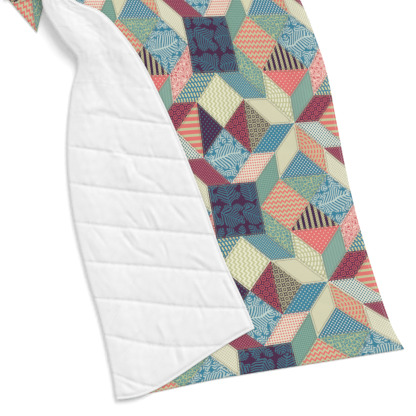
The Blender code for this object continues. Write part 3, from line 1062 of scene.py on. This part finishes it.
PLUM_DOTS = Fabric("teal dots on plum", Motif.DOTS, PLUM, SLATE, 20.0, 0.12)
CRIMSON_RINGS = Fabric("coral medallions on crimson", Motif.MEDALLIONS, "#984a59", PLUM, 38.0,
                       angle=20.0, accent="#c95a60")
RING_LATTICE = Fabric("khaki ring lattice on plum", Motif.MEDALLIONS, "#b2ad8e", "#402c46", 38.0,
                      accent="#b8b38c")
CORAL_CHEVRONS = Fabric("coral chevrons on green", Motif.CHEVRONS, "#bfc59e", SALMON)
TEAL_FERN = Fabric("white ferns on teal", Motif.FERNS, TEAL, "#bccdc6",
                   fronds=(LARGE_FROND, SMALL_FROND, TINY_FROND))
KHAKI_ZIGZAG = Fabric("khaki zigzag on white", Motif.CHEVRONS, "#e1dfc6", "#bcbf8e", share=0.45,
                      angle=90.0)
PLUM_FERN = Fabric("slate ferns on plum", Motif.FERNS, PLUM, "#417688",
                   fronds=(MIDDLE_FROND, SMALL_FROND))


@dataclass(frozen=True)
class Patch:
    """One patch of the repeat: a fabric and its corners, in print units from the star's centre."""

    fabric: Fabric
    corners: tuple[tuple[int, int], ...]


PATCHES = (
    Patch(PLUM_ON_CORAL, ((0, 0), (1, 0), (2, 1), (1, 1))),
    Patch(SAGE_PINSTRIPE, ((0, 0), (0, 1), (1, 2), (1, 1))),
    Patch(GREEN_ARCS, ((0, 0), (0, 1), (-1, 2), (-1, 1))),
    Patch(CREAM_PLAIN, ((0, 0), (-1, 1), (-2, 1), (-1, 0))),
    Patch(TEAL_DOTS, ((0, 0), (-1, 0), (-2, -1), (-1, -1))),
    Patch(CREAM_PLAIN, ((0, 0), (-1, -1), (-1, -2), (0, -1))),
    Patch(CORAL_ARCS, ((0, 0), (0, -1), (1, -2), (1, -1))),
    Patch(TEAL_CHECK, ((0, 0), (1, -1), (2, -1), (1, 0))),
    Patch(CORAL_LACE, ((1, 1), (1, 2), (2, 3), (2, 2))),
    Patch(TEAL_ARCS, ((1, 1), (2, 2), (3, 2), (2, 1))),
    Patch(SAGE_LACE, ((-1, 1), (-1, 2), (-2, 3), (-2, 2))),
    Patch(TEAL_PINS, ((-1, 1), (-2, 2), (-3, 2), (-2, 1))),
    Patch(CORAL_CHECK, ((-1, -1), (-2, -1), (-3, -2), (-2, -2))),
    Patch(SAGE_CHECK, ((-1, -1), (-1, -2), (-2, -3), (-2, -2))),
    Patch(CRIMSON_PINS, ((1, -1), (2, -1), (3, -2), (2, -2))),
    Patch(CREAM_CHECK, ((1, -1), (1, -2), (2, -3), (2, -2))),
    Patch(CORAL_DOTS, ((0, 1), (1, 2), (-1, 2))),
    Patch(PLUM_BRAID, ((-1, 2), (1, 2), (0, 3))),
    Patch(TEAL_GINGHAM, ((-1, -2), (1, -2), (0, -1))),
    Patch(SAGE_LACE, ((-1, -2), (0, -3), (1, -2))),
    Patch(CORAL_STRIPES, ((1, 0), (2, -1), (2, 1))),
    Patch(PLUM_DOTS, ((2, -1), (3, 0), (2, 1))),
    Patch(CRIMSON_RINGS, ((-3, 0), (-2, -1), (-2, 1))),
    Patch(RING_LATTICE, ((-1, 0), (-2, 1), (-2, -1))),
    Patch(CORAL_CHEVRONS, ((-1, 2), (0, 3), (-1, 4), (-2, 3))),
    Patch(TEAL_FERN, ((1, 2), (2, 3), (1, 4), (0, 3))),
    Patch(KHAKI_ZIGZAG, ((3, 0), (4, 1), (3, 2), (2, 1))),
    Patch(TEAL_FERN, ((3, -2), (4, -1), (3, 0), (2, -1))),
    Patch(PLUM_FERN, ((2, 2), (4, 2), (4, 4), (2, 4))),
)


# No edge that starts farther than this from the star's centre reaches the central repeat.
EDGE_SEARCH = 5


def repeats(patch: Patch) -> list[Array]:
    """Return a patch's corners in each neighbouring repeat that can reach the central one.

    Args:
        patch: The patch.

    Returns:
        An array of corners for each repeat.
    """
    corners = np.array(patch.corners, float)
    shifts = (-PRINT_REPEAT, 0, PRINT_REPEAT)
    return [corners + (dx, dy) for dx in shifts for dy in shifts]


def centred(points: Array) -> Array:
    """Move print points into the repeat round the star's centre."""
    half = PRINT_REPEAT / 2.0
    return np.mod(points + half, PRINT_REPEAT) - half


def patch_index(points: Array) -> Array:
    """Find which patch each point lies in.

    Args:
        points: Points in print units, one row each.

    Returns:
        Index into PATCHES for each point.
    """
    spots = centred(points)
    found = np.zeros(len(spots), int)
    for index, patch in enumerate(PATCHES):
        for corners in repeats(patch):
            ahead = np.roll(corners, -1, axis=0) - corners
            turns = np.array([edge[0] * (spots[:, 1] - corner[1]) - edge[1] * (spots[:, 0] - corner[0])
                              for corner, edge in zip(corners, ahead)])
            inside = np.all(turns > 0.0, axis=0) | np.all(turns < 0.0, axis=0)
            found[inside] = index
    return found


def patch_edge_distance(points: Array) -> Array:
    """Measure how far each print point is from the nearest patch edge.

    Args:
        points: Points in print units, one row each.

    Returns:
        The distances in metres.
    """
    spots = centred(points)
    nearest = np.full(len(spots), np.inf)
    seen = set()
    for patch in PATCHES:
        for corners in repeats(patch):
            for start, end in zip(corners, np.roll(corners, -1, axis=0)):
                key = tuple(sorted((tuple(start), tuple(end))))
                if key in seen or np.abs(start).max() > EDGE_SEARCH:
                    continue
                seen.add(key)
                run = end - start
                share = np.clip((spots - start) @ run / (run @ run), 0.0, 1.0)
                away = np.linalg.norm(spots - start - share[:, None] * run, axis=1)
                nearest = np.minimum(nearest, away)
    return nearest * PRINT_UNIT


@dataclass
class Grid:
    """A flat grid of cloth coordinates and the faces on it, counter-clockwise from the printed side."""

    u: Array
    v: Array
    faces: list[tuple[int, ...]] = field(default_factory=list)

    def rim(self) -> list[int]:
        """Return the boundary vertices in order, counter-clockwise."""
        rows, columns = self.u.shape
        index = np.arange(rows * columns).reshape(rows, columns)
        return [*index[0, :], *index[1:, -1], *index[-1, -2::-1], *index[-2:0:-1, 0]]


def make_sheet(name: str, grid: Grid, drape: Drape, inner: Array, outer: Array) -> bpy.types.Object:
    """Build a thin closed cloth between two offsets of the middle surface.

    Args:
        name: The object's name.
        grid: Cloth coordinates and faces.
        drape: The map to space.
        inner: Offsets of the side next to the other panel.
        outer: Offsets of the side that shows.

    Returns:
        The new object, linked to the scene.
    """
    u, v = grid.u.ravel(), grid.v.ravel()
    count = len(u)
    places = np.vstack((drape.surface(u, v, outer), drape.surface(u, v, inner)))
    printed = outer.mean() > inner.mean()
    rim = grid.rim()
    faces = [f if printed else f[::-1] for f in grid.faces]
    faces += [tuple(k + count for k in f[::-1]) for f in faces]
    for a, b in zip(rim, rim[1:] + rim[:1]):
        wall = (a, a + count, b + count, b)
        faces.append(wall if printed else wall[::-1])
    mesh = bpy.data.meshes.new(name)
    mesh.from_pydata(places.tolist(), [], faces)
    mesh.polygons.foreach_set("use_smooth", np.ones(len(faces), bool))
    corner = np.zeros(len(mesh.loops), np.int32)
    mesh.loops.foreach_get("vertex_index", corner)
    star = np.array(PRINT_CENTRE) * PRINT_UNIT
    flat = (np.column_stack((u, v)) - star)[corner % count]
    layer = mesh.uv_layers.new(name="cloth")
    layer.data.foreach_set("uv", flat.ravel())
    sheet = bpy.data.objects.new(name, mesh)
    bpy.context.scene.collection.objects.link(sheet)
    return sheet


def set_attribute(sheet: bpy.types.Object, name: str, values: Array) -> None:
    """Store one number for each point on both sides of a sheet."""
    layer = sheet.data.attributes.new(name, "FLOAT", "POINT")
    layer.data.foreach_set("value", np.concatenate((values, values)))


@dataclass
class PrintedFace:
    """The patchwork-printed cotton panel."""

    drape: Drape
    quilting: Quilting
    divisions: int = 12
    least_step: float = 0.002

    def grid_lines(self, size: float, start: float) -> Array:
        """Return grid lines at even parts of the print unit, and at both ends.

        Args:
            size: The cloth's size in this direction.
            start: Print units from the cloth's edge to the star's centre.

        Returns:
            Cloth coordinates of the lines.
        """
        first = -start
        last = size / PRINT_UNIT - start
        ticks = np.arange(math.ceil(first * self.divisions), math.floor(last * self.divisions) + 1)
        lines = (ticks / self.divisions + start) * PRINT_UNIT
        inside = lines[(lines > self.least_step) & (lines < size - self.least_step)]
        return np.concatenate(([0.0], inside, [size]))

    def grid(self) -> Grid:
        """Return the flat grid, split along the diagonals that patch edges follow."""
        across = self.grid_lines(self.drape.width, PRINT_CENTRE[0])
        along = self.grid_lines(self.drape.length, PRINT_CENTRE[1])
        u, v = np.meshgrid(across, along)
        grid = Grid(u, v)
        columns = len(across)
        middle_x = (across[:-1] + across[1:]) / 2.0 / PRINT_UNIT - PRINT_CENTRE[0]
        middle_y = (along[:-1] + along[1:]) / 2.0 / PRINT_UNIT - PRINT_CENTRE[1]
        cell_x = np.floor(np.mod(middle_x, 1.0) * self.divisions)
        cell_y = np.floor(np.mod(middle_y, 1.0) * self.divisions)
        for row in range(len(along) - 1):
            for column in range(columns - 1):
                a = row * columns + column
                b, c, d = a + 1, a + columns + 1, a + columns
                if cell_x[column] == cell_y[row]:
                    grid.faces += [(a, b, c), (a, c, d)]
                elif cell_x[column] + cell_y[row] == self.divisions - 1:
                    grid.faces += [(a, b, d), (b, c, d)]
                else:
                    grid.faces.append((a, b, c, d))
        return grid

    def build(self) -> bpy.types.Object:
        """Build the panel and give each patch its fabric.

        Returns:
            The finished sheet.
        """
        grid = self.grid()
        u, v = grid.u.ravel(), grid.v.ravel()
        thick = self.quilting.thickness(u, v, self.drape, np.ones(len(u)), np.zeros(len(u)))
        sheet = make_sheet("patchwork_face", grid, self.drape,
                           np.full(len(u), self.quilting.gap), thick + self.quilting.gap)
        print_points = np.column_stack((u, v)) / PRINT_UNIT - PRINT_CENTRE
        set_attribute(sheet, "patch_edge", patch_edge_distance(print_points))
        fabrics: list[Fabric] = []
        for patch in PATCHES:
            if patch.fabric not in fabrics:
                fabrics.append(patch.fabric)
                sheet.data.materials.append(patch.fabric.material())
        slots = np.array([fabrics.index(patch.fabric) for patch in PATCHES])
        middles = np.array([print_points[list(face)].mean(axis=0) for face in grid.faces])
        chosen = slots[patch_index(middles)]
        rim = np.full(len(sheet.data.polygons) - 2 * len(chosen), fabrics.index(CREAM_PLAIN))
        sheet.data.polygons.foreach_set("material_index", np.concatenate((chosen, chosen, rim)))
        sheet.data.update()
        return sheet


@dataclass(frozen=True)
class Wave:
    """A wave across the cloth that sways to and fro, in radians for each metre of cloth."""

    across: float
    along: float
    sway: float
    sway_across: float
    sway_along: float

    def heights(self, u: Array, v: Array) -> Array:
        """Return the wave's height, from -1 to 1."""
        sway = self.sway * np.sin(self.sway_across * u + self.sway_along * v)
        return np.sin(self.across * u + self.along * v + sway)


# Three soft waves whose mix leaves the flap uneven between its creases.
CRUMPLE = (
    Wave(70.0, 38.0, 1.6, -22.0, 31.0),
    Wave(-52.0, 85.0, 1.9, 44.0, 12.0),
    Wave(120.0, 60.0, 2.1, 0.0, 50.0),
)


@dataclass
class WhiteBacking:
    """The white quilted panel, which shows where the left side is turned over."""

    drape: Drape
    quilting: Quilting
    flap_columns: int = 98
    roll_columns: int = 8
    main_columns: int = 34
    rows: int = 316
    pucker_turns: float = 190.0
    pucker_height: float = 0.0005
    pucker_reach: float = 0.030
    slow_turns: float = 108.3
    slow_share: float = 0.7
    slow_start: float = 1.0
    crumple_height: float = 0.0008
    fine_share: float = 0.5
    fold_reach: float = 0.075
    tuck_reach: float = 0.050
    hem_lines: tuple[float, ...] = (0.0, 0.0025, 0.005, 0.0075, 0.010, 0.0135, 0.018)

    def grid(self) -> Grid:
        """Return the flat grid, whose columns follow the side fold."""
        hem = np.array(self.hem_lines)
        middle = np.linspace(hem[-1], self.drape.length - hem[-1], self.rows + 1)[1:-1]
        along = np.concatenate((hem, middle, self.drape.length - hem[::-1]))
        fold = self.drape.read(along, "fold")
        half = self.drape.roll_half
        lines = []
        for centre in fold:
            inner = np.linspace(hem[-1], centre - half, self.flap_columns + 1)
            flap = np.concatenate((hem[:-1], inner[:-1]))
            roll = np.linspace(centre - half, centre + half, self.roll_columns + 1)
            main = np.linspace(centre + half, self.drape.width, self.main_columns + 1)[1:]
            lines.append(np.concatenate((flap, roll, main)))
        u = np.array(lines)
        v = np.repeat(along[:, None], u.shape[1], axis=1)
        grid = Grid(u, v)
        columns = u.shape[1]
        for row in range(len(along) - 1):
            for column in range(columns - 1):
                a = row * columns + column
                grid.faces.append((a, a + 1, a + columns + 1, a + columns))
        return grid

    def thickness(self, u: Array, v: Array) -> Array:
        """Return the backing's thickness with its creases.

        Args:
            u: Cloth coordinates across.
            v: Cloth coordinates along.

        Returns:
            The thickness at each point.
        """
        plan = self.drape.unfolded(u, v)[0]
        lofted = self.lofted(u, v)
        creases = sum(crease.heights(plan) for crease in CREASES)
        relief = creases + self.puckers(u, v) + self.crumple(u, v)
        return self.quilting.thickness(u, v, self.drape, lofted, relief * lofted)

    def crumple(self, u: Array, v: Array) -> Array:
        """Return the soft uneven waves of the cloth between its creases."""
        first, second, fine = (wave.heights(u, v) for wave in CRUMPLE)
        return self.crumple_height * (first * second + self.fine_share * fine)

    def puckers(self, u: Array, v: Array) -> Array:
        """Return the small gathers that run across the strong seams.

        Args:
            u: Cloth coordinates across.
            v: Cloth coordinates along.

        Returns:
            The height at each point.
        """
        slope = math.radians(self.quilting.slope)
        along = u * math.cos(slope) + v * math.sin(slope)
        away = self.quilting.nearest(u, v, 1.0)
        slow = self.slow_share * np.sin(along * self.slow_turns + self.slow_start)
        waves = np.sin(along * self.pucker_turns) + slow
        return self.pucker_height * waves * np.exp(-away / self.pucker_reach)

    def lofted(self, u: Array, v: Array) -> Array:
        """Return 1 where the backing is quilted and free, 0 where it lies pressed underneath.

        Args:
            u: Cloth coordinates across.
            v: Cloth coordinates along.

        Returns:
            The share of its loft at each point.
        """
        on_flap = smooth_step((self.drape.read(v, "fold") - u) / self.fold_reach)
        beyond = self.drape.tuck_frame(self.drape.unfolded(u, v)[0])[1]
        return on_flap * smooth_step(-beyond / self.tuck_reach)

    def build(self) -> bpy.types.Object:
        """Build the panel.

        Returns:
            The finished sheet.
        """
        grid = self.grid()
        u, v = grid.u.ravel(), grid.v.ravel()
        thick = self.thickness(u, v)
        sheet = make_sheet("quilted_backing", grid, self.drape,
                           np.full(len(u), -self.quilting.gap), -thick - self.quilting.gap)
        sheet.data.materials.append(BrushedBacking(self.quilting).material())
        return sheet


@dataclass
class Stitching:
    """Machine stitches along the seams on the backing, and round the edges on both sides."""

    drape: Drape
    quilting: Quilting
    backing: WhiteBacking
    pitch: float = 0.0050
    stitch_length: float = 0.0036
    thread_width: float = 0.0007
    inset: float = 0.010
    step: float = 0.012

    def edge_lines(self) -> list[tuple[Array, Array]]:
        """Return the topstitch runs along the four edges."""
        low, right, top = self.inset, self.drape.width - self.inset, self.drape.length - self.inset
        across = np.arange(low, right, self.step)
        along = np.arange(low, top, self.step)
        return [(across, np.full(len(across), low)), (across, np.full(len(across), top)),
                (np.full(len(along), low), along), (np.full(len(along), right), along)]

    def path(self, name: str, runs: Sequence[tuple[Array, Array]], side: float) -> bpy.types.Object:
        """Build a mesh of bare edges that the stitches follow.

        Args:
            name: The object's name.
            runs: Seams as arrays of cloth coordinates.
            side: +1 on the printed side, -1 on the backing.

        Returns:
            The object with the paths.
        """
        places: list[list[float]] = []
        edges: list[tuple[int, int]] = []
        for u, v in runs:
            if side > 0:
                thick = self.quilting.thickness(u, v, self.drape, np.ones(len(u)), np.zeros(len(u)))
            else:
                thick = self.backing.thickness(u, v)
            first = len(places)
            places += self.drape.surface(u, v, side * (thick + self.quilting.gap)).tolist()
            edges += [(first + k, first + k + 1) for k in range(len(u) - 1)]
        mesh = bpy.data.meshes.new(name)
        mesh.from_pydata(places, edges, [])
        path = bpy.data.objects.new(name, mesh)
        bpy.context.scene.collection.objects.link(path)
        return path

    def tree(self, thread: bpy.types.Material) -> bpy.types.GeometryNodeTree:
        """Build the node tree that sews stitches along a path.

        Args:
            thread: The thread's material.

        Returns:
            The tree, with the pitch, the stitch's length and the thread's width as inputs.
        """
        tree = bpy.data.node_groups.new("stitches along a path", "GeometryNodeTree")
        tree.interface.new_socket("Geometry", in_out="INPUT", socket_type="NodeSocketGeometry")
        for name in ("Pitch", "Stitch length", "Thread width"):
            tree.interface.new_socket(name, in_out="INPUT", socket_type="NodeSocketFloat")
        tree.interface.new_socket("Geometry", in_out="OUTPUT", socket_type="NodeSocketGeometry")
        source = add(tree, "NodeGroupInput").outputs
        curve = add(tree, "GeometryNodeMeshToCurve", {"Mesh": source["Geometry"]}).outputs["Curve"]
        points = add(tree, "GeometryNodeCurveToPoints", {"Curve": curve, "Length": source["Pitch"]},
                     mode="LENGTH").outputs
        size = add(tree, "ShaderNodeCombineXYZ", {"X": source["Thread width"], "Y": source["Thread width"],
                                                  "Z": source["Stitch length"]}).outputs["Vector"]
        stitch = add(tree, "GeometryNodeMeshCube", {"Size": size}).outputs["Mesh"]
        placed = add(tree, "GeometryNodeInstanceOnPoints",
                     {"Points": points["Points"], "Instance": stitch, "Rotation": points["Rotation"]})
        real = add(tree, "GeometryNodeRealizeInstances", {"Geometry": placed.outputs["Instances"]})
        dressed = add(tree, "GeometryNodeSetMaterial", {"Geometry": real.outputs["Geometry"],
                                                        "Material": thread})
        add(tree, "NodeGroupOutput", {"Geometry": dressed.outputs["Geometry"]})
        return tree

    def sew(self, path: bpy.types.Object, tree: bpy.types.GeometryNodeTree) -> bpy.types.Object:
        """Run the tree on a path and keep the result as a plain mesh.

        Args:
            path: The bare path.
            tree: The stitch tree.

        Returns:
            The object with its stitches.
        """
        modifier = path.modifiers.new("stitches", "NODES")
        modifier.node_group = tree
        sizes = {"Pitch": self.pitch, "Stitch length": self.stitch_length, "Thread width": self.thread_width}
        for item in tree.interface.items_tree:
            if item.in_out == "INPUT" and item.name in sizes:
                modifier[item.identifier] = sizes[item.name]
        graph = bpy.context.evaluated_depsgraph_get()
        mesh = bpy.data.meshes.new_from_object(path.evaluated_get(graph), preserve_all_data_layers=True,
                                               depsgraph=graph)
        path.modifiers.remove(modifier)
        path.data = mesh
        return path

    def build(self) -> list[bpy.types.Object]:
        """Build the stitches.

        Returns:
            The seam stitches, then the topstitch on the backing and on the face.
        """
        tree = self.tree(PolyesterThread().material())
        seams = self.path("seam_stitches", self.quilting.lines(self.drape, self.step), -1.0)
        back = self.path("backing_topstitch", self.edge_lines(), -1.0)
        face = self.path("face_topstitch", self.edge_lines(), 1.0)
        return [self.sew(path, tree) for path in (seams, back, face)]


@dataclass
class Studio:
    """A pale floor, soft light and a camera straight above, as in a catalogue picture."""

    white: str = "#ffffff"
    floor_size: float = 12.0
    floor_drop: float = 0.0004
    room_light: float = 0.64
    key_place: tuple[float, float, float] = (2.0, 3.0, 3.5)
    key_spread: float = 34.0
    key_strength: float = 1.75
    fill_place: tuple[float, float, float] = (-2.0, -1.0, 3.5)
    fill_spread: float = 60.0
    fill_strength: float = 0.15
    view_width: float = 1.617
    lens: float = 100.0
    sensor: float = 36.0
    target: tuple[float, float] = (0.0174, -0.1463)

    def lamp(self, name: str, place: tuple[float, float, float], spread: float,
             strength: float) -> bpy.types.Object:
        """Add a soft, even light that shines at the quilt from far away.

        Args:
            name: The light's name.
            place: The direction that it comes from.
            spread: How wide it is, in degrees, which softens its shadows.
            strength: Its strength.

        Returns:
            The light.
        """
        data = bpy.data.lights.new(name, "SUN")
        data.angle = math.radians(spread)
        data.energy = strength
        lamp = bpy.data.objects.new(name, data)
        bpy.context.scene.collection.objects.link(lamp)
        lamp.location = place
        lamp.rotation_euler = (math.atan2(math.hypot(place[0], place[1]), place[2]), 0.0,
                               math.atan2(place[0], -place[1]))
        return lamp

    def build(self) -> None:
        """Set up the floor, the world, the lamps and the camera."""
        bpy.ops.mesh.primitive_plane_add(size=self.floor_size, location=(0.0, 0.0, -self.floor_drop))
        floor = bpy.context.active_object
        floor.name = "floor"
        # Matt paper gives no highlight, so nothing on the floor draws the eye from the quilt.
        finish = bpy.data.materials.new("matt white paper, rolled")
        finish.use_nodes = True
        shader = finish.node_tree.nodes["Principled BSDF"]
        shader.inputs["Base Color"].default_value = hex_linear(self.white)
        shader.inputs["Roughness"].default_value = 1.0
        floor.data.materials.append(finish)
        world = bpy.data.worlds.new("studio")
        world.use_nodes = True
        background = world.node_tree.nodes["Background"]
        background.inputs["Color"].default_value = hex_linear(self.white)
        background.inputs["Strength"].default_value = self.room_light
        bpy.context.scene.world = world
        bpy.context.scene.view_settings.view_transform = "Standard"
        key = self.lamp("key light", self.key_place, self.key_spread, self.key_strength)
        fill = self.lamp("fill light", self.fill_place, self.fill_spread, self.fill_strength)
        data = bpy.data.cameras.new("camera")
        data.lens = self.lens
        data.sensor_width = self.sensor
        camera = bpy.data.objects.new("camera", data)
        bpy.context.scene.collection.objects.link(camera)
        camera.location = (*self.target, self.view_width * self.lens / self.sensor)
        bpy.context.scene.camera = camera


def main() -> None:
    logging.basicConfig(level=logging.INFO)
    drape = Drape()
    even = Quilting()
    loose = Quilting(crown=0.0092, seam=0.0014, groove=0.009, narrow=0.40, falling_depth=0.25,
                     hem_height=0.0016, taut_start=0.97, taut_reach=0.200, taut_share=0.96)
    face = PrintedFace(drape, even).build()
    panel = WhiteBacking(drape, loose)
    backing = panel.build()
    seams, back_topstitch, face_topstitch = Stitching(drape, even, panel).build()
    pieces = (face, backing, seams, back_topstitch, face_topstitch)
    for piece in pieces:
        LOG.info("%s: %d faces", piece.name, len(piece.data.polygons))

    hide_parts("printed_face")
    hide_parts("white_backing")
    for piece in pieces:
        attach(piece, "root")
    Studio().build()
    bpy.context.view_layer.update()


if __name__ == "__main__":
    main()
